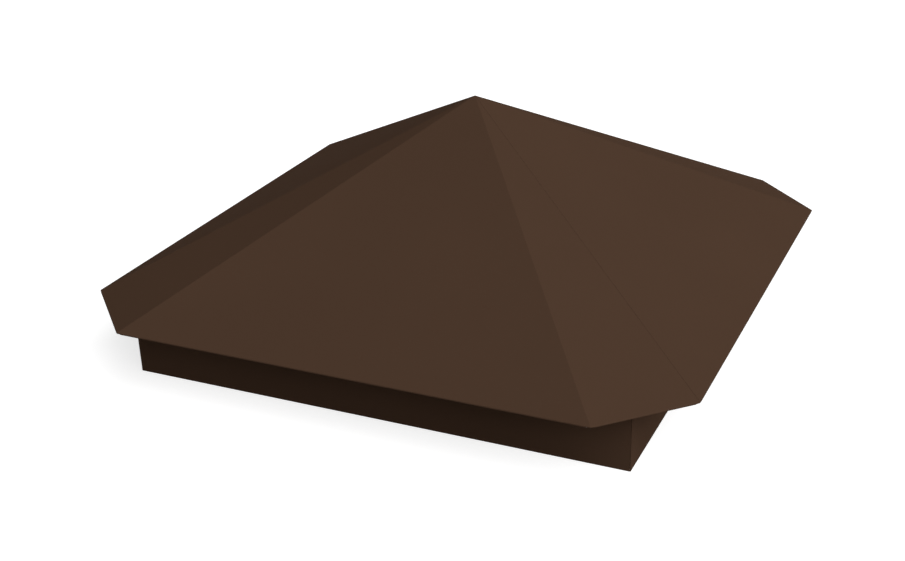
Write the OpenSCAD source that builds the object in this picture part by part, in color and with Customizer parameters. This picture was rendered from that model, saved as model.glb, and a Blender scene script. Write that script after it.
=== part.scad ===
// Fence post cap of folded, coated steel sheet, in millimetres.
// The origin is the centre of the skirt's rim, +Z points up to the apex and -Y is the front.

/* [Overall size] */
// Width of the square post
post_w = 380; // [300:1:480]
// Room between the post and the outside of the skirt, on each side
post_gap = 5; // [4:0.5:10]
// Reach of the eaves past the skirt
overhang = 41; // [34:1:60]
// Rise of the apex above the eaves
roof_rise = 128; // [105:1:190]
// Drop of the skirt below the eaves
skirt_drop = 53; // [40:0.5:90]
// Length taken off each side of the roof at every corner
corner_cut = 56; // [40:1:68]

/* [Sheet] */
// Thickness of the coated steel sheet
sheet_t = 0.7; // [0.5:0.05:1]
// Hairline between two roof panels along a hip
hip_seam = 0.1; // [0.05:0.05:0.3]
// Clearance between two sheets that lie on each other
lap_gap = 0.05; // [0.02:0.01:0.1]
// Slit between neighbouring eave returns
return_slit = 0.6; // [0.4:0.1:1]
// Space kept between the roof and everything under it
roof_clear = 1; // [0.5:0.1:2]

/* [Roof panel] */
// Height of the lip that stands up from each eave return
lip_h = 8.5; // [8:0.5:10]
// Depth of the flange under each hip
flange_h = 12; // [10:0.5:16]
// Distance from the middle at which the hip flanges start
flange_start = 20; // [17:1:40]

/* [Skirt wall] */
// Height of the wall above the underside of the eaves
wall_rise = 10; // [9:0.5:13]
// Width of the ledge turned in over the post
ledge_w = 15; // [12:0.5:20]
// Height of the hem folded up inside the rim
hem_h = 8; // [5:0.5:12]
// Space inside the fold of the hem
hem_gap = 0.4; // [0.2:0.1:0.8]
// Distance from a skirt corner to the rivet through its tab
tab_rivet = 14; // [12:0.5:20]
// Length of the corner tab past that rivet
tab_end = 7; // [6:0.5:10]

/* [Rivets] */
// Shank diameter of every blind rivet
rivet_d = 3.2; // [2.8:0.1:4]
// Clearance round a shank in its hole
hole_clear = 0.05; // [0.05:0.05:0.2]
// Diameter of a rivet's head
head_d = 6; // [5:0.1:7]
// Height of a rivet's head
head_h = 0.9; // [0.7:0.1:1.2]
// Diameter of the closed tail behind the sheets
tail_d = 4.8; // [4.2:0.1:5.4]
// Length of the closed tail
tail_l = 3.4; // [2.8:0.1:4]
// Diameter of the pin that is left in a rivet
pin_d = 1.8; // [1.5:0.1:2]
// Rivets along each hip
hip_rivets = 3; // [2:1:5]
// Rivets along each side of the skirt
side_rivets = 4; // [3:1:6]

/* [Sealant] */
// Diameter of the bead along the foot of each hip flange
bead_d = 5; // [4:0.5:6]
// Radius of the plug under the apex
plug_r = 14; // [10:1:16]
// Depth of the plug below the apex
plug_h = 14; // [11:0.5:20]

/* [Hidden] */
$fn = 48;

// Plan of the roof: a square with four cut corners
half_skirt = post_w / 2 + post_gap;
half_eave = half_skirt + overhang;
half_flat = half_eave - corner_cut;
cut_dist = (half_eave + half_flat) / sqrt(2);
hip_dist = norm([half_eave, half_flat]);
eave_b = [-half_flat, -half_eave];
eave_c = [half_flat, -half_eave];
eave_d = [half_eave, -half_flat];
corner_nip = 0.4;
nip_in = corner_nip / sqrt(2) * [1, 1];
side_points = [eave_b + [corner_nip, 0], eave_c - [corner_nip, 0], eave_c + nip_in, eave_d - nip_in];
quarter = 90;
eighth = 45;

// Slopes, and how much height the sheet takes up under them
pitch = atan(roof_rise / half_eave);
corner_pitch = atan(roof_rise / cut_dist);
hip_fall = roof_rise / hip_dist;
corner_fall = roof_rise / cut_dist;
sheet_dz = sheet_t / cos(pitch);
corner_t = sheet_dz * cos(corner_pitch);
edge_h = sheet_t * (1 + 1 / cos(pitch) - tan(pitch));

// Heights
soffit_z = skirt_drop;
eave_z = soffit_z + edge_h;
apex_z = eave_z + roof_rise;
wall_top = soffit_z + wall_rise;
lip_top = soffit_z + lip_h;
reach = 2 * half_skirt;
past = 1;
fold_clear = 1;

// Eave returns: each starts behind a round relief where three folds meet
return_in = half_skirt + lap_gap;
return_corner = [return_in, -return_in];
return_root = (sheet_dz + sheet_t - edge_h) / corner_fall;
return_rise = cut_dist - return_in * sqrt(2);
return_lean = return_rise / norm(eave_d - return_corner);
relief_r = return_root / return_lean + return_slit;
lip_end = half_skirt - 2 * sheet_t;

// Skirt walls: the right end turns in behind the next wall
wall_end = half_skirt - sheet_t - lap_gap;
hem_w = 2 * sheet_t + hem_gap;
hem_end = half_skirt - hem_w - fold_clear;
tab_foot = hem_h + fold_clear;

// Rivets
head_rim = 0.3;
tail_slope = 0.5;
pin_head_d = 2.9;
pin_head_h = 1.1;
pin_recess = 0.3;
hole_r = rivet_d / 2 + hole_clear;
hole_l = stack(4) + 4 * past;
rivet_edge = head_d;
skirt_rivet_z = soffit_z + sheet_t + tail_d / 2 + roof_clear;
tail_out = half_skirt + stack(2) + tail_l + pin_head_h;
tail_room = shoulder(skirt_rivet_z + tail_d / 2, tail_out) - tail_d / 2;
corner_rivet_x = min(half_skirt - tab_rivet, tail_room);
tab_l = half_skirt - corner_rivet_x + tab_end;
ledge_end = min(shoulder(wall_top, half_skirt), half_skirt - tab_l, half_skirt - ledge_w) - fold_clear;

// Hip flanges: they taper away where they would meet the skirt
flange_floor = wall_top + roof_clear;
flange_top_end = hip_at(flange_floor + sheet_dz / 2);
flange_full_end = hip_at(flange_floor + sheet_dz + flange_h);
bead_end = hip_at(flange_floor + sheet_dz + flange_h + bead_d);

// Colours
coat = [0.29, 0.22, 0.17];
steel = [0.62, 0.62, 0.6];
grey = [0.45, 0.44, 0.42];

// Thickness of some lapped sheets, with the clearances on both sides of each
function stack(sheets) = sheets * sheet_t + (sheets + 1) * lap_gap;

// Height of the hip line at a distance from the middle
function hip_z(r) = eave_z + hip_fall * (hip_dist - r);

// Distance from the middle at which the hip line is at a height
function hip_at(z) = hip_dist - (z - eave_z) / hip_fall;

// Farthest x, on a line y out from the middle, that stays clear under a corner slope
function shoulder(z, y) = sqrt(2) * (cut_dist - (z + sheet_dz + roof_clear - eave_z) / corner_fall) - y;

// A point of the plan after some quarter turns
function quarter_turned(p, n) = n == 0 ? p : quarter_turned([-p[1], p[0]], n - 1);

// Direction of a hip in plan
function plan_angle(p) = atan2(p[1], p[0]);

// Places a child on a slope of the roof, lowered by some height
module on_slope(dist, tilt, lower) {
    translate([0, -dist, eave_z - lower])
        rotate([tilt, 0, 0])
            children();
}

// Upright prism over a plan outline
module prism(outline) {
    linear_extrude(height = 2 * apex_z)
        polygon(outline);
}

// Space on one side of a slope: above it with side = 1, or under it with side = -1
module half_space(side) {
    translate([-reach, -reach, (side - 1) * reach / 2])
        cube([2 * reach, 3 * reach, reach]);
}

// Space above or under the front main slope
module main_side(side, lower) {
    on_slope(half_eave, pitch, lower)
        half_space(side);
}

// Space above or under the corner slope at the right end of the front
module corner_side(side, lower) {
    rotate([0, 0, eighth])
        on_slope(cut_dist, corner_pitch, lower)
            half_space(side);
}

// Everything higher than the roof less a clearance, along the front
module roof_space(gap) {
    main_side(1, sheet_dz + gap);
    corner_side(1, sheet_dz + gap);
    rotate([0, 0, -quarter])
        corner_side(1, sheet_dz + gap);
}

// Hole for a rivet, along Y
module rivet_hole() {
    rotate([quarter, 0, 0])
        cylinder(r = hole_r, h = hole_l, center = true);
}

// Places a child at each rivet of one hip, with Z along the rivet
module each_hip_rivet() {
    first = flange_start + rivet_edge;
    last = flange_full_end - rivet_edge;
    for (i = [0 : hip_rivets - 1]) {
        r = first + (last - first) * i / (hip_rivets - 1);
        translate([r, 0, hip_z(r) - sheet_dz - flange_h / 2])
            children();
    }
}

// Places a child at each rivet of the front skirt wall, from the tabbed corner on
module each_side_rivet(first, last) {
    for (i = [first : last])
        translate([corner_rivet_x * (2 * i / (side_rivets - 1) - 1), -half_skirt, skirt_rivet_z])
            children();
}

// Flange under one free hip, standing on one side of the hip's plane
module hip_flange(hip, side) {
    rotate([0, 0, plan_angle(hip)])
        translate([0, side * (hip_seam + sheet_t) / 2 + sheet_t / 2, 0])
            rotate([quarter, 0, 0])
                linear_extrude(height = sheet_t)
                    polygon([
                        [flange_start, hip_z(flange_start) - sheet_dz / 2],
                        [flange_top_end, flange_floor],
                        [flange_full_end, flange_floor],
                        [flange_start, hip_z(flange_start) - sheet_dz - flange_h]
                    ]);
}

// Hairline and rivet holes along one free hip
module hip_cut(hip) {
    rotate([0, 0, plan_angle(hip)]) {
        translate([-past, -hip_seam / 2, 0])
            cube([2 * hip_dist, hip_seam, 2 * apex_z]);
        each_hip_rivet()
            rivet_hole();
    }
}

// Main slope and corner slope, bent from one sheet, with their hip flanges
module slopes() {
    difference() {
        union() {
            difference() {
                intersection() {
                    main_side(-1, 0);
                    corner_side(-1, 0);
                    prism([[0, 0], 2 * eave_b, 2 * eave_c, 2 * eave_d]);
                }
                intersection() {
                    main_side(-1, sheet_dz);
                    corner_side(-1, sheet_dz);
                }
            }
            hip_flange(eave_b, 1);
            hip_flange(eave_d, -1);
        }
        hip_cut(eave_b);
        hip_cut(eave_d);
    }
}

// Slit along the mitre between two eave returns
module mitre(outer, inner) {
    run = inner - outer;
    translate([outer[0], outer[1], soffit_z - past])
        rotate([0, 0, plan_angle(run)])
            translate([-overhang, -return_slit / 2, 0])
                cube([overhang + norm(run) + past, return_slit, sheet_t + 2 * past]);
}

// Flat returns under the eaves: one along the side and one across the corner
module eave_returns() {
    far_corner = [-return_in, -return_in];
    difference() {
        translate([0, 0, soffit_z])
            linear_extrude(height = sheet_t)
                polygon([
                    2 * eave_b - far_corner, 2 * eave_c - return_corner,
                    2 * eave_d - return_corner, return_corner, far_corner
                ]);
        mitre(eave_b, far_corner);
        mitre(eave_c, return_corner);
        mitre(eave_d, return_corner);
        for (corner = [eave_b, eave_c, eave_d])
            translate([corner[0], corner[1], soffit_z - past])
                cylinder(r = relief_r, h = sheet_t + 2 * past);
    }
}

// Lip that stands up from the return against the outside of the skirt
module lip() {
    difference() {
        translate([-lip_end, -return_in - sheet_t, soffit_z])
            cube([2 * lip_end, sheet_t, lip_h]);
        roof_space(roof_clear);
        each_side_rivet(0, side_rivets - 1)
            rivet_hole();
    }
}

// One quarter of the roof, trimmed to the outline of the eaves
module roof_panel(turn) {
    outline = [for (n = [0 : 3]) for (p = side_points) quarter_turned(p, n)];
    color(coat)
        rotate([0, 0, turn])
            intersection() {
                prism(outline);
                union() {
                    slopes();
                    eave_returns();
                    lip();
                }
            }
}

// Wall with the ledge at its top, the hem at its foot and the tab at its right end
module skirt_wall(turn) {
    color(coat)
        rotate([0, 0, turn])
            difference() {
                union() {
                    translate([-half_skirt, -half_skirt, 0])
                        cube([half_skirt + wall_end, sheet_t, wall_top]);
                    translate([-ledge_end, -half_skirt, wall_top - sheet_t])
                        cube([2 * ledge_end, ledge_w, sheet_t]);
                    translate([-hem_end, -half_skirt, 0])
                        cube([2 * hem_end, hem_w, sheet_t]);
                    translate([-hem_end, -half_skirt + sheet_t + hem_gap, 0])
                        cube([2 * hem_end, sheet_t, hem_h]);
                    translate([wall_end - sheet_t, -half_skirt, tab_foot])
                        cube([sheet_t, tab_l, lip_top - tab_foot]);
                }
                roof_space(roof_clear);
                each_side_rivet(0, side_rivets - 1)
                    rivet_hole();
                rotate([0, 0, quarter])
                    each_side_rivet(0, 0)
                        rivet_hole();
            }
}

// Closed blind rivet: domed head above z = 0, shank through the sheets and tail behind them
module rivet_sleeve(grip) {
    dome = head_h - head_rim;
    dome_r = (head_d * head_d / 4 + dome * dome) / (2 * dome);
    difference() {
        union() {
            intersection() {
                cylinder(d = head_d, h = head_h);
                translate([0, 0, head_h - dome_r])
                    sphere(r = dome_r);
            }
            translate([0, 0, -grip])
                cylinder(d = rivet_d, h = grip + head_rim);
            translate([0, 0, -grip])
                rotate_extrude()
                    polygon([
                        [0, 0],
                        [tail_d / 2 - tail_slope / 2, 0],
                        [tail_d / 2, -tail_slope],
                        [tail_d / 2, tail_slope * 2 - tail_l],
                        [tail_d / 2 - tail_slope * 1.5, -tail_l],
                        [0, -tail_l]
                    ]);
        }
        translate([0, 0, -grip - tail_l - past])
            cylinder(d = pin_d, h = grip + tail_l + head_h + 2 * past);
    }
}

// Pin left in the rivet, with its own head at the end of the tail
module rivet_pin(grip) {
    stem = grip + tail_l + head_h - pin_recess;
    translate([0, 0, -grip - tail_l])
        cylinder(d = pin_d - 2 * lap_gap, h = stem);
    translate([0, 0, -grip - tail_l - pin_head_h - lap_gap])
        intersection() {
            cylinder(d = pin_head_d, h = pin_head_h + lap_gap / 2);
            translate([0, 0, pin_head_d / 2])
                sphere(d = pin_head_d);
        }
    translate([0, 0, -grip - tail_l - lap_gap])
        cylinder(d = pin_d - 2 * lap_gap, h = 2 * lap_gap);
}

// Places a child on each hip seam rivet of the roof, heads on the same hand all round
module on_hips() {
    for (turn = [0 : quarter : 3 * quarter])
        rotate([0, 0, turn + plan_angle(eave_b)])
            each_hip_rivet()
                translate([0, stack(2) / 2 + (hip_seam - lap_gap) / 2, 0])
                    rotate([-quarter, 0, 0])
                        children();
}

// Places a child on some rivets of every skirt wall, heads inside on the given number of sheets
module on_skirt(first, last, inner_sheets) {
    for (turn = [0 : quarter : 3 * quarter])
        rotate([0, 0, turn])
            each_side_rivet(first, last)
                translate([0, inner_sheets * (sheet_t + lap_gap), 0])
                    rotate([-quarter, 0, 0])
                        children();
}

module hip_rivet_sleeves() {
    color(steel)
        on_hips()
            rivet_sleeve(stack(2) + hip_seam - lap_gap);
}

module hip_rivet_pins() {
    color(steel)
        on_hips()
            rivet_pin(stack(2) + hip_seam - lap_gap);
}

module skirt_rivet_sleeves() {
    color(steel) {
        on_skirt(0, 0, 2)
            rivet_sleeve(stack(3));
        on_skirt(1, side_rivets - 1, 1)
            rivet_sleeve(stack(2));
    }
}

module skirt_rivet_pins() {
    color(steel) {
        on_skirt(0, 0, 2)
            rivet_pin(stack(3));
        on_skirt(1, side_rivets - 1, 1)
            rivet_pin(stack(2));
    }
}

// Bead of sealant that wraps the foot of each pair of hip flanges
module hip_sealant() {
    slope = atan(hip_fall);
    foot_z = hip_z(flange_start) - sheet_dz - flange_h;
    run = (bead_end - flange_start) / cos(slope);
    pair_w = 2 * sheet_t + hip_seam + 2 * lap_gap;
    color(grey)
        for (turn = [0 : quarter : 3 * quarter])
            rotate([0, 0, turn + plan_angle(eave_b)])
                translate([flange_start, 0, foot_z])
                    rotate([0, slope, 0])
                        difference() {
                            translate([0, 0, -bead_d / 4])
                                rotate([0, quarter, 0])
                                    cylinder(d = bead_d, h = run);
                            translate([-past, -pair_w / 2, -lap_gap])
                                cube([run + 2 * past, pair_w, bead_d]);
                        }
}

// Plug of sealant that fills the tip of the roof
module apex_sealant() {
    bowl_r = (plug_r * plug_r + plug_h * plug_h / 4) / plug_h;
    color(grey)
        difference() {
            intersection() {
                translate([0, 0, apex_z - plug_h])
                    cylinder(r = plug_r, h = plug_h);
                translate([0, 0, apex_z - plug_h + bowl_r])
                    sphere(r = bowl_r);
            }
            for (turn = [0 : quarter : 3 * quarter])
                rotate([0, 0, turn]) {
                    main_side(1, sheet_dz + lap_gap);
                    corner_side(1, sheet_dz + lap_gap);
                }
        }
}

roof_panel(0);  // roof_panel_front
roof_panel(quarter);  // roof_panel_right
roof_panel(2 * quarter);  // roof_panel_back
roof_panel(3 * quarter);  // roof_panel_left
skirt_wall(0);  // skirt_wall_front
skirt_wall(quarter);  // skirt_wall_right
skirt_wall(2 * quarter);  // skirt_wall_back
skirt_wall(3 * quarter);  // skirt_wall_left
hip_rivet_sleeves();
hip_rivet_pins();
skirt_rivet_sleeves();
skirt_rivet_pins();
hip_sealant();
apex_sealant();
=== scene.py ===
import bmesh
import bpy
import math
from mathutils import Matrix, Vector, noise
from mathutils.bvhtree import BVHTree


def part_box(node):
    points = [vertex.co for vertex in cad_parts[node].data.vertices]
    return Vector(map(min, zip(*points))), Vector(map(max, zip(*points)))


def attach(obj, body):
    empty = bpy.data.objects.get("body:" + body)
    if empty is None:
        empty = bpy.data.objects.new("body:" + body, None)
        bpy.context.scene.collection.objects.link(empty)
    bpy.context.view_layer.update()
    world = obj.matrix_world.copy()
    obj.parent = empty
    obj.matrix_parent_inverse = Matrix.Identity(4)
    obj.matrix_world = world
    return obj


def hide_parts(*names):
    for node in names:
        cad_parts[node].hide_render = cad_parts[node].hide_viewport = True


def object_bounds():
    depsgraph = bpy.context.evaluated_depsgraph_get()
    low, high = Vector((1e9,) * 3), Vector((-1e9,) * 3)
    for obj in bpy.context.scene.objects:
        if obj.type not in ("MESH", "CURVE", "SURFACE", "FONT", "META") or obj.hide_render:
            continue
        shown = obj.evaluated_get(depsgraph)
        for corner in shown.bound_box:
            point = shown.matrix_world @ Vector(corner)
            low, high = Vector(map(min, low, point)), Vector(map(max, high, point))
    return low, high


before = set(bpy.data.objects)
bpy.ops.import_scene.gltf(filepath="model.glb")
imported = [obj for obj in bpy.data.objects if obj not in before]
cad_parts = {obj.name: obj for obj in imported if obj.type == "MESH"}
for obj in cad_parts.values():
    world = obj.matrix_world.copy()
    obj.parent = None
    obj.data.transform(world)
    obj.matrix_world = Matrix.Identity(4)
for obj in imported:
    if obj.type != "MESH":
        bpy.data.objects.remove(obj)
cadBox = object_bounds()
mm = 0.001
sides = ["front", "right", "back", "left"]
roofPanels = ["roof_panel_" + side for side in sides]
skirtWalls = ["skirt_wall_" + side for side in sides]
print("frame loaded with", len(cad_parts), "pieces")


# camera: azimuth 0 looks along +Y from the front, elevation is above the horizon

cameraSet = {
    "place": (0.4283, -0.9657, 0.5104),
    "azimuth": 22.05,
    "elevation": 26.42,
    "roll": -0.26,
    "lens": 56.2,
    "shift": (-0.0753, 0.0466),
}


def makeCamera():
    turn = math.radians(cameraSet["azimuth"])
    lift = math.radians(cameraSet["elevation"])
    tilt = math.radians(cameraSet["roll"])
    back = Vector((math.sin(turn) * math.cos(lift), -math.cos(turn) * math.cos(lift), math.sin(lift)))
    right = Vector((math.cos(turn), math.sin(turn), 0))
    up = back.cross(right)
    rolledRight = right * math.cos(tilt) + up * math.sin(tilt)
    rolledUp = back.cross(rolledRight)
    data = bpy.data.cameras.new("camera")
    data.lens = cameraSet["lens"]
    data.shift_x, data.shift_y = cameraSet["shift"]
    data.clip_start = 0.01
    camera = bpy.data.objects.new("camera", data)
    bpy.context.scene.collection.objects.link(camera)
    camera.matrix_world = Matrix((
        (rolledRight.x, rolledUp.x, back.x, cameraSet["place"][0]),
        (rolledRight.y, rolledUp.y, back.y, cameraSet["place"][1]),
        (rolledRight.z, rolledUp.z, back.z, cameraSet["place"][2]),
        (0, 0, 0, 1),
    ))
    bpy.context.scene.camera = camera


makeCamera()
print("camera placed")


# node helpers: each texture works in metres over the piece itself

def startMaterial(name, look, metallic=0.0, specular=0.5):
    mat = bpy.data.materials.new(name)
    mat.use_nodes = True
    mat.diffuse_color = (*look["color"], 1)
    shader = mat.node_tree.nodes["Principled BSDF"]
    shader.inputs["Base Color"].default_value = (*look["color"], 1)
    shader.inputs["Roughness"].default_value = look["roughness"][0]
    shader.inputs["Metallic"].default_value = metallic
    shader.inputs["Specular IOR Level"].default_value = specular
    return mat, shader


# the owner of nodes is a material or the world
def addNode(owner, kind, **values):
    node = owner.node_tree.nodes.new(kind)
    for name, value in values.items():
        setattr(node, name, value)
    return node


def wire(owner, start, end):
    owner.node_tree.links.new(start, end)


def addNoise(mat, size, detail=2.0, stretch=(1, 1, 1)):
    coords = addNode(mat, "ShaderNodeTexCoord")
    mapping = addNode(mat, "ShaderNodeMapping")
    mapping.inputs["Scale"].default_value = stretch
    texture = addNode(mat, "ShaderNodeTexNoise")
    texture.inputs["Scale"].default_value = 1 / size
    texture.inputs["Detail"].default_value = detail
    wire(mat, coords.outputs["Object"], mapping.inputs["Vector"])
    wire(mat, mapping.outputs["Vector"], texture.inputs["Vector"])
    return texture.outputs["Fac"]


# blends two noises into one factor, share is how much of the second one shows
def blendNoise(mat, first, second, share):
    mix = addNode(mat, "ShaderNodeMix", data_type="FLOAT")
    mix.inputs["Factor"].default_value = share
    wire(mat, first, mix.inputs["A"])
    wire(mat, second, mix.inputs["B"])
    return mix.outputs["Result"]


# noise stays near its middle, so the ends of its useful range are these
noiseEnds = (0.32, 0.68)


# change is how far the colour strays to the dark and to the light side
def shadeFrom(mat, shader, factor, color, change):
    ramp = addNode(mat, "ShaderNodeValToRGB")
    for stop, place, amount in zip(ramp.color_ramp.elements, noiseEnds, (1 - change, 1 + change)):
        stop.position = place
        stop.color = (*[channel * amount for channel in color], 1)
    wire(mat, factor, ramp.inputs["Fac"])
    wire(mat, ramp.outputs["Color"], shader.inputs["Base Color"])


def roughFrom(mat, shader, factor, low, high):
    spread = addNode(mat, "ShaderNodeMapRange")
    spread.inputs["From Min"].default_value = noiseEnds[0]
    spread.inputs["From Max"].default_value = noiseEnds[1]
    spread.inputs["To Min"].default_value = low
    spread.inputs["To Max"].default_value = high
    wire(mat, factor, spread.inputs["Value"])
    wire(mat, spread.outputs["Result"], shader.inputs["Roughness"])


# each layer is (height factor, depth in metres), from the coarse one to the fine one
def bumpFrom(mat, shader, layers):
    last = None
    for factor, depth in layers:
        bump = addNode(mat, "ShaderNodeBump")
        bump.inputs["Distance"].default_value = depth
        wire(mat, factor, bump.inputs["Height"])
        if last:
            wire(mat, last.outputs["Normal"], bump.inputs["Normal"])
        last = bump
    wire(mat, last.outputs["Normal"], shader.inputs["Normal"])


# brown coat: matte coil coating with a fine grain and a very faint roll of colour

coatLook = {
    "color": (0.0765, 0.0432, 0.0272),
    "roughness": (0.8, 0.92),
    "specular": 0.002,
    "cloud": 0.11,  # size of the slow change of colour
    "grain": 0.0006,  # size of the grain in the coat
    "grainDepth": 0.000008,
    "grainShare": 0.4,  # share of the colour change that follows the grain
    "peel": 0.004,  # size of the soft waves in the coat
    "peelDepth": 0.000012,
    "change": 0.03,
}


def makeCoat():
    look = coatLook
    mat, shader = startMaterial("brownCoat", look, specular=look["specular"])
    cloud = addNoise(mat, look["cloud"], 3.0)
    grain = addNoise(mat, look["grain"], 2.0)
    peel = addNoise(mat, look["peel"], 1.0)
    both = blendNoise(mat, cloud, grain, look["grainShare"])
    shadeFrom(mat, shader, both, look["color"], look["change"])
    roughFrom(mat, shader, both, *look["roughness"])
    bumpFrom(mat, shader, [(peel, look["peelDepth"]), (grain, look["grainDepth"])])
    return mat


# backing coat: the thin pale grey primer on the reverse of the sheet

backLook = {
    "color": (0.36, 0.355, 0.335),
    "roughness": (0.5, 0.66),
    "specular": 0.3,
    "cloud": 0.05,
    "cloudDepth": 0.00004,
    "scuff": 0.002,
    "scuffDepth": 0.000006,
    "scuffShare": 0.35,
    "scuffStretch": (1, 1, 0.25),
    "change": 0.07,
}


def makeBackingCoat():
    look = backLook
    mat, shader = startMaterial("backingCoat", look, specular=look["specular"])
    cloud = addNoise(mat, look["cloud"], 4.0)
    scuff = addNoise(mat, look["scuff"], 3.0, look["scuffStretch"])
    both = blendNoise(mat, cloud, scuff, look["scuffShare"])
    shadeFrom(mat, shader, both, look["color"], look["change"])
    roughFrom(mat, shader, scuff, *look["roughness"])
    bumpFrom(mat, shader, [(cloud, look["cloudDepth"]), (scuff, look["scuffDepth"])])
    return mat


# cut edge: sheared steel between its zinc layers

edgeLook = {
    "color": (0.33, 0.335, 0.33),
    "roughness": (0.4, 0.62),
    "metallic": 0.75,
    "shear": 0.0004,
    "shearDepth": 0.00002,
    "change": 0.25,
}


def makeCutEdge():
    look = edgeLook
    mat, shader = startMaterial("cutEdge", look, metallic=look["metallic"])
    shear = addNoise(mat, look["shear"], 3.0)
    shadeFrom(mat, shader, shear, look["color"], look["change"])
    roughFrom(mat, shader, shear, *look["roughness"])
    bumpFrom(mat, shader, [(shear, look["shearDepth"])])
    return mat


# rivets: dull tumbled alloy sleeves with zinc plated pins

alloyLook = {
    "color": (0.6, 0.6, 0.58),
    "roughness": (0.38, 0.56),
    "tumble": 0.0005,
    "tumbleDepth": 0.00001,
    "change": 0.08,
}
steelLook = {
    "color": (0.43, 0.43, 0.41),
    "roughness": (0.28, 0.5),
    "tumble": 0.0005,
    "tumbleDepth": 0.00001,
    "change": 0.08,
}


def makeRivetMetal(name, look):
    mat, shader = startMaterial(name, look, metallic=1.0)
    tumble = addNoise(mat, look["tumble"], 3.0)
    shadeFrom(mat, shader, tumble, look["color"], look["change"])
    roughFrom(mat, shader, tumble, *look["roughness"])
    bumpFrom(mat, shader, [(tumble, look["tumbleDepth"])])
    return mat


# sealant: grey mastic, a little shiny, with a wrinkled skin

sealantLook = {
    "color": (0.17, 0.165, 0.155),
    "roughness": (0.34, 0.55),
    "specular": 0.4,
    "skin": 0.0016,
    "skinDepth": 0.00006,
    "cloud": 0.012,
    "cloudDepth": 0.0002,
    "change": 0.1,
}


def makeSealant():
    look = sealantLook
    mat, shader = startMaterial("sealantGrey", look, specular=look["specular"])
    cloud = addNoise(mat, look["cloud"], 3.0)
    skin = addNoise(mat, look["skin"], 2.0)
    shadeFrom(mat, shader, cloud, look["color"], look["change"])
    roughFrom(mat, shader, skin, *look["roughness"])
    bumpFrom(mat, shader, [(cloud, look["cloudDepth"]), (skin, look["skinDepth"])])
    return mat


brownCoat = makeCoat()
backingCoat = makeBackingCoat()
cutEdge = makeCutEdge()
rivetAlloy = makeRivetMetal("rivetAlloy", alloyLook)
rivetSteel = makeRivetMetal("rivetSteel", steelLook)
sealantGrey = makeSealant()
print("materials made")


# sheet pieces: the coat runs over the folds from face to face and stops at cut edges

sheetSet = {
    "thickness": 0.7 * mm,
    "narrow": 1.15,  # times the thickness, below this a flat is the sheet's edge
    "outsideMargin": 0.1 * mm,
    "weldReach": 0.001 * mm,
    "foldSteps": 3,
    "flatAngle": 1.0,  # degrees, below this two faces are one flat
    "foldShare": 0.2,  # share of a flat's outline that lies along a fold
    "foldAngle": 10.0,  # degrees, above this an edge is softened
    "foldRadius": 0.3 * mm,
    "cutRadius": 0.07 * mm,
    "seamRadius": 0.05 * mm,
    "seamReach": 0.2 * mm,  # a flange face this near the hip's plane is a seam
    "uprightLean": 0.01,  # largest rise of a flange face's normal
    "tipReach": 3 * mm,  # folds that run this near the axis meet at the apex and stay crisp
}


# flats are groups of faces in one plane, each with its area, outline length, normal and middle
def findFlats(mesh):
    flatOf = {}
    flats = []
    limit = math.radians(sheetSet["flatAngle"])
    for seed in mesh.faces:
        if seed in flatOf:
            continue
        number = len(flats)
        flatOf[seed] = number
        group = [seed]
        outline = 0.0
        for face in group:
            for edge in face.edges:
                other = [f for f in edge.link_faces if f is not face]
                if len(other) == 1 and edge.calc_face_angle(math.pi) < limit:
                    if other[0] not in flatOf:
                        flatOf[other[0]] = number
                        group.append(other[0])
                else:
                    outline += edge.calc_length()
        area = sum(face.calc_area() for face in group)
        largest = max(group, key=lambda face: face.calc_area())
        middle = sum((face.calc_center_median() * face.calc_area() for face in group), Vector()) / area
        flats.append({
            "area": area,
            "outline": outline,
            "width": 2 * area / outline,
            "normal": largest.normal.copy(),
            "middle": middle,
        })
    return flatOf, flats


# how much edge each flat shares with each of its neighbours
def sharedEdges(mesh, flatOf, count):
    shared = [{} for number in range(count)]
    for edge in mesh.edges:
        near = {flatOf[face] for face in edge.link_faces}
        if len(near) == 2:
            first, second = near
            length = edge.calc_length()
            shared[first][second] = shared[first].get(second, 0.0) + length
            shared[second][first] = shared[second].get(first, 0.0) + length
    return shared


# gives each flat its finish: the coat spreads from the largest outer flat over every true fold,
# and a narrow flat between the coat and the reverse is a cut edge
def finishFlats(flats, shared):
    narrow = sheetSet["narrow"] * sheetSet["thickness"]
    outside = -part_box("skirt_wall_front")[0].y - sheetSet["outsideMargin"]
    wide = [flat["width"] > narrow for flat in flats]
    outward = [n for n, flat in enumerate(flats) if wide[n] and flat["middle"].dot(flat["normal"]) > 0]
    start = max(outward, key=lambda n: flats[n]["area"])
    coated = {start}
    queue = [start]
    for number in queue:
        for near, length in shared[number].items():
            folded = length > sheetSet["foldShare"] * flats[near]["outline"]
            if wide[near] and folded and near not in coated:
                coated.add(near)
                queue.append(near)
    finish = []
    for number in range(len(flats)):
        around = {near in coated for near in shared[number] if wide[near]}
        if wide[number]:
            finish.append("coat" if number in coated else "back")
        elif around == {True}:
            finish.append("coat")
        elif around == {False}:
            finish.append("back")
        elif max(abs(flats[number]["middle"].x), abs(flats[number]["middle"].y)) > outside:
            finish.append("coat")  # edges that show are touched up
        else:
            finish.append("cut")
    return finish


def pointKey(point):
    return tuple(round(value / sheetSet["weldReach"]) for value in point)


def edgeKey(first, second):
    return tuple(sorted((pointKey(first), pointKey(second))))


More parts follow.
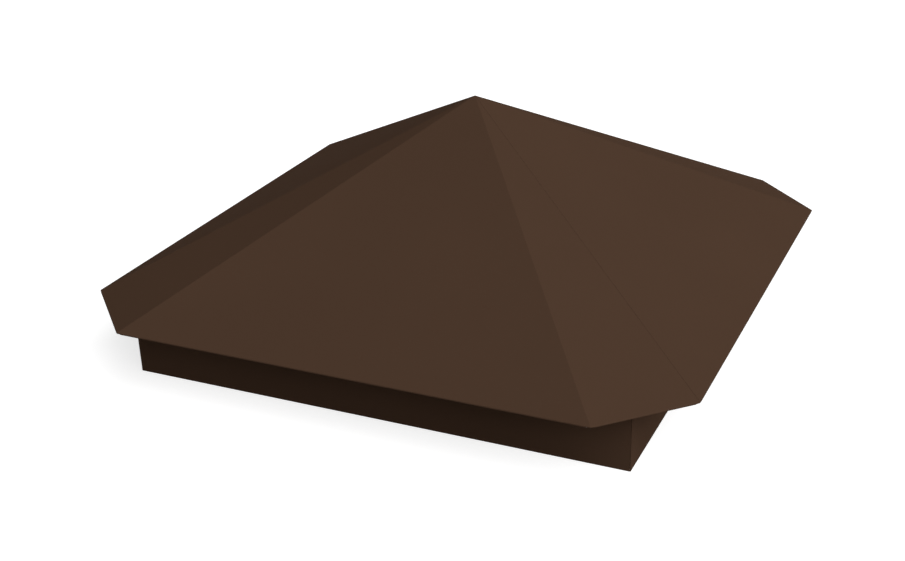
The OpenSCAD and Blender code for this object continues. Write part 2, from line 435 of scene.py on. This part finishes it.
# the free hips stay crisp, because two panels meet there with a hairline between them,
# and so do the folds that run up to the apex
def foldWeight(edge, kinds):
    if edge.calc_face_angle(0) < math.radians(sheetSet["foldAngle"]):
        return 0.0
    if "cut" in kinds:
        return sheetSet["cutRadius"] / sheetSet["foldRadius"]
    upright = [face for face in edge.link_faces if abs(face.normal.z) < sheetSet["uprightLean"]]
    onSeam = any(abs(face.normal.dot(edge.verts[0].co)) < sheetSet["seamReach"] for face in upright)
    atTip = min(point.co.xy.length for point in edge.verts) < sheetSet["tipReach"]
    if onSeam or atTip:
        return sheetSet["seamRadius"] / sheetSet["foldRadius"]
    return 1.0


def dressSheet(node):
    mesh = bmesh.new()
    mesh.from_mesh(node.data)
    origin = mesh.faces.layers.int.new("origin")
    for face in mesh.faces:
        face[origin] = face.index
    bmesh.ops.remove_doubles(mesh, verts=mesh.verts, dist=sheetSet["weldReach"])
    mesh.faces.ensure_lookup_table()
    flatOf, flats = findFlats(mesh)
    finish = finishFlats(flats, sharedEdges(mesh, flatOf, len(flats)))
    order = ["coat", "back", "cut"]
    node.data.materials.clear()
    for mat in (brownCoat, backingCoat, cutEdge):
        node.data.materials.append(mat)
    for face in mesh.faces:
        node.data.polygons[face[origin]].material_index = order.index(finish[flatOf[face]])
    weights = {}
    for edge in mesh.edges:
        if len(edge.link_faces) == 2:
            kinds = [finish[flatOf[face]] for face in edge.link_faces]
            weights[edgeKey(edge.verts[0].co, edge.verts[1].co)] = foldWeight(edge, kinds)
    mesh.free()
    softness = node.data.attributes.new("bevel_weight_edge", "FLOAT", "EDGE")
    points = node.data.vertices
    for edge in node.data.edges:
        key = edgeKey(points[edge.vertices[0]].co, points[edge.vertices[1]].co)
        softness.data[edge.index].value = weights.get(key, 0.0)
    smoothNode(node)
    weld = node.modifiers.new("weld", "WELD")
    weld.merge_threshold = sheetSet["weldReach"]
    merge = node.modifiers.new("flats", "DECIMATE")
    merge.decimate_type = "DISSOLVE"
    merge.angle_limit = math.radians(sheetSet["flatAngle"])
    merge.delimit = {"MATERIAL"}
    bevel = node.modifiers.new("folds", "BEVEL")
    bevel.width = sheetSet["foldRadius"]
    bevel.segments = sheetSet["foldSteps"]
    bevel.limit_method = "WEIGHT"
    bevel.use_clamp_overlap = False
    normals = node.modifiers.new("normals", "WEIGHTED_NORMAL")
    normals.keep_sharp = True
    return {kind: finish.count(kind) for kind in order}


def smoothNode(node):
    if "custom_normal" in node.data.attributes:
        node.data.attributes.remove(node.data.attributes["custom_normal"])
    node.data.polygons.foreach_set("use_smooth", [True] * len(node.data.polygons))
    node.data.update()


for name in roofPanels + skirtWalls:
    print(name, dressSheet(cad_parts[name]))
print("sheet pieces dressed")


# rivets and sealant

def dressPart(name, mat):
    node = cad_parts[name]
    node.data.materials.clear()
    node.data.materials.append(mat)


for kind in ("hip", "skirt"):
    dressPart(kind + "_rivet_sleeves", rivetAlloy)
    dressPart(kind + "_rivet_pins", rivetSteel)


# sealant from a gun: beads that swell and thin along their hips, and a pressed plug under the apex

masticSet = {
    "step": 0.8 * mm,  # length of one ring of a bead
    "around": 28,
    "swell": 0.13,  # share of the radius, slow change along the bead
    "swellSize": 15 * mm,
    "ripple": 0.06,  # share of the radius, where the gun was moved on
    "rippleSize": 4 * mm,
    "wander": 0.35 * mm,  # how far a bead strays from its straight line
    "tail": 9 * mm,  # length of the drawn out end
    "tailCurve": 0.7,  # below 1 the tail stays thick for longer
    "beadShift": 7.3,  # keeps the beads unlike each other
    "wanderShift": Vector((0, 3.1, 5)),  # keeps the stray unlike the swell
    "plugRings": 72,
    "plugCentre": 0.55,  # share of the plug's height
    "plugDent": 1.1 * mm,  # depth of the tool marks in the plug
    "plugDentSize": 7 * mm,
    "plugFade": 0.5,  # below 1 the marks reach nearer to the plug's rim
}


def addPiece(name, points, faces, nodeName):
    mesh = bpy.data.meshes.new(name)
    mesh.from_pydata(points, [], faces)
    mesh.materials.append(sealantGrey)
    mesh.polygons.foreach_set("use_smooth", [True] * len(mesh.polygons))
    mesh.update()
    piece = bpy.data.objects.new(name, mesh)
    bpy.context.scene.collection.objects.link(piece)
    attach(piece, "root")
    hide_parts(nodeName)


# closed skin over rows of points, with a point at each end
def skinFaces(rows, around):
    first, last = 0, rows * around + 1
    faces = []
    for column in range(around):
        after = (column + 1) % around
        faces.append((first, 1 + after, 1 + column))
        for row in range(rows - 1):
            low = 1 + row * around
            high = low + around
            faces.append((low + column, low + after, high + after, high + column))
        faces.append((last, last - around + column, last - around + after))
    return faces


# middle of the box round some points
def boxMiddle(points):
    low = Vector([min(point[axis] for point in points) for axis in range(3)])
    high = Vector([max(point[axis] for point in points) for axis in range(3)])
    return (low + high) / 2


# upper end, lower end and radius of each plain bead, one bead in each quarter of the plan
def beadEnds(node):
    quarters = {}
    for vertex in node.data.vertices:
        quarter = math.floor(math.atan2(vertex.co.y, vertex.co.x) / (math.pi / 2))
        quarters.setdefault(quarter, []).append(vertex.co.copy())
    beads = []
    for number in sorted(quarters):
        points = quarters[number]
        level = sum(point.z for point in points) / len(points)
        upper = [point for point in points if point.z > level]
        lower = [point for point in points if point.z <= level]
        start = boxMiddle(upper)
        radius = max((point - start).length for point in upper)
        beads.append((start, boxMiddle(lower), radius))
    return beads


def makeBead(number, start, end, radius):
    look = masticSet
    along = (end - start).normalized()
    length = (end - start).length
    side = along.cross(Vector((0, 0, 1))).normalized()
    over = side.cross(along)
    rows = int(length / look["step"])
    points = [start]
    for row in range(rows):
        place = length * (row + 0.5) / rows
        fromStart = min(place / radius, 1)
        fromTail = min((length - place) / look["tail"], 1)
        roundness = math.sqrt(1 - (1 - fromStart) ** 2)
        thickness = radius * roundness * math.sin(fromTail * math.pi / 2) ** look["tailCurve"]
        slow = Vector((place / look["swellSize"], number * look["beadShift"], 0))
        swell = look["swell"] * noise.noise(slow)
        stray = look["wander"] * noise.noise(slow + look["wanderShift"])
        middle = start + along * place
        for column in range(look["around"]):
            angle = math.tau * column / look["around"]
            out = side * math.cos(angle) + over * math.sin(angle)
            ripple = look["ripple"] * noise.noise((middle + out * radius) / look["rippleSize"])
            points.append(middle + side * stray + out * thickness * (1 + swell + ripple))
    points.append(end)
    addPiece("hipBead" + str(number), points, skinFaces(rows, look["around"]), "hip_sealant")


# the plug keeps its fit to the roof, and only its open face is dented
def makePlug(node):
    look = masticSet
    mesh = bmesh.new()
    mesh.from_mesh(node.data)
    skin = BVHTree.FromBMesh(mesh)
    heights = [vertex.co.z for vertex in mesh.verts]
    mesh.free()
    centre = Vector((0, 0, min(heights) + look["plugCentre"] * (max(heights) - min(heights))))
    rings = look["plugRings"]
    around = 2 * rings
    points = [skin.ray_cast(centre, Vector((0, 0, -1)))[0]]
    for row in range(1, rings):
        lean = math.pi * row / rings
        openness = max(0.0, math.cos(lean)) ** look["plugFade"]
        for column in range(around):
            turn = math.tau * column / around
            sideways = Vector((math.cos(turn), math.sin(turn), 0))
            ray = sideways * math.sin(lean) - Vector((0, 0, 1)) * math.cos(lean)
            hit = skin.ray_cast(centre, ray)[0]
            dent = look["plugDent"] * openness * abs(noise.noise(hit / look["plugDentSize"]))
            points.append(hit - ray * dent)
    points.append(skin.ray_cast(centre, Vector((0, 0, 1)))[0])
    addPiece("apexPlug", points, skinFaces(rings - 1, around), "apex_sealant")


for number, (start, end, radius) in enumerate(beadEnds(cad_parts["hip_sealant"])):
    makeBead(number, start, end, radius)
    print("bead", number, round((end - start).length / mm, 1), "mm long, radius", round(radius / mm, 2))
makePlug(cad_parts["apex_sealant"])
print("rivets and sealant dressed")


# studio: plain pale floor, soft key light, white background

studioSet = {
    "keyDirection": (0.62, -0.32, 0.72),  # towards the light
    "keyStrength": 3.1,
    "keyAngle": 62.0,
    "ambient": 0.06,
    "floorReach": 12.0,
    "floorColor": 0.44,  # what the floor gives back to the object
    "shownColor": 0.6,  # how much the floor shows of the object's shadow
    "shownGlow": 0.75,
    "cavityShare": 0.9,  # width of the light below the opening, as a share of the skirt
    "cavityWatts": 0.5,
    "cavityLift": 1 * mm,
}


def addColor(owner, kind, value):
    node = addNode(owner, kind)
    node.inputs["Color"].default_value = (value, value, value, 1)
    return node


def mixShaders(owner, factor, first, second):
    mix = addNode(owner, "ShaderNodeMixShader")
    wire(owner, factor, mix.inputs[0])
    wire(owner, first.outputs[0], mix.inputs[1])
    wire(owner, second.outputs[0], mix.inputs[2])
    return mix


# 1 for what the camera sees, straight on or by way of metal or glass, and 0 for other light
def seenByCamera(owner):
    path = addNode(owner, "ShaderNodeLightPath")
    mirrored = addNode(owner, "ShaderNodeMath", operation="MAXIMUM")
    seen = addNode(owner, "ShaderNodeMath", operation="MAXIMUM")
    wire(owner, path.outputs["Is Camera Ray"], mirrored.inputs[0])
    wire(owner, path.outputs["Is Glossy Ray"], mirrored.inputs[1])
    wire(owner, mirrored.outputs[0], seen.inputs[0])
    wire(owner, path.outputs["Is Transmission Ray"], seen.inputs[1])
    return seen.outputs[0]


# white where it is seen, pale for the light it gives back, and clear from below
def makeFloor():
    look = studioSet
    mesh = bpy.data.meshes.new("floor")
    reach = look["floorReach"]
    level = cadBox[0].z
    plan = [(-reach, -reach), (reach, -reach), (reach, reach), (-reach, reach)]
    mesh.from_pydata([(x, y, level) for x, y in plan], [], [(0, 1, 2, 3)])
    floor = bpy.data.objects.new("floor", mesh)
    bpy.context.scene.collection.objects.link(floor)
    mat = bpy.data.materials.new("floorWhite")
    mat.use_nodes = True
    mat.node_tree.nodes.clear()
    output = addNode(mat, "ShaderNodeOutputMaterial")
    glow = addNode(mat, "ShaderNodeEmission")
    glow.inputs["Strength"].default_value = look["shownGlow"]
    shown = addColor(mat, "ShaderNodeBsdfDiffuse", look["shownColor"])
    white = addNode(mat, "ShaderNodeAddShader")
    wire(mat, glow.outputs[0], white.inputs[0])
    wire(mat, shown.outputs[0], white.inputs[1])
    given = addColor(mat, "ShaderNodeBsdfDiffuse", look["floorColor"])
    above = mixShaders(mat, seenByCamera(mat), given, white)
    side = addNode(mat, "ShaderNodeNewGeometry")
    clear = addNode(mat, "ShaderNodeBsdfTransparent")
    oneWay = mixShaders(mat, side.outputs["Backfacing"], above, clear)
    wire(mat, oneWay.outputs[0], output.inputs["Surface"])
    mesh.materials.append(mat)


def makeWorld():
    world = bpy.data.worlds.new("studio")
    bpy.context.scene.world = world
    world.use_nodes = True
    world.node_tree.nodes.clear()
    output = addNode(world, "ShaderNodeOutputWorld")
    dim = addColor(world, "ShaderNodeBackground", 1)
    dim.inputs["Strength"].default_value = studioSet["ambient"]
    white = addColor(world, "ShaderNodeBackground", 1)
    mix = mixShaders(world, seenByCamera(world), dim, white)
    wire(world, mix.outputs[0], output.inputs["Surface"])


def makeKeyLight():
    data = bpy.data.lights.new("keyLight", "SUN")
    data.energy = studioSet["keyStrength"]
    data.angle = math.radians(studioSet["keyAngle"])
    lamp = bpy.data.objects.new("keyLight", data)
    bpy.context.scene.collection.objects.link(lamp)
    lamp.rotation_mode = "QUATERNION"
    lamp.rotation_quaternion = Vector(studioSet["keyDirection"]).to_track_quat("Z", "Y")


# a soft panel under the opening: it lights the inside for anyone who looks up into the cap
def makeCavityLight():
    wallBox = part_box("skirt_wall_front")
    data = bpy.data.lights.new("cavityLight", "AREA")
    data.size = (wallBox[1].x - wallBox[0].x) * studioSet["cavityShare"]
    data.energy = studioSet["cavityWatts"]
    lamp = bpy.data.objects.new("cavityLight", data)
    bpy.context.scene.collection.objects.link(lamp)
    lamp.location = (0, 0, cadBox[0].z + studioSet["cavityLift"])
    lamp.rotation_euler = (math.pi, 0, 0)
    lamp.visible_camera = False


makeFloor()
makeWorld()
makeKeyLight()
makeCavityLight()
bpy.context.scene.view_settings.view_transform = "Standard"
print("studio made")
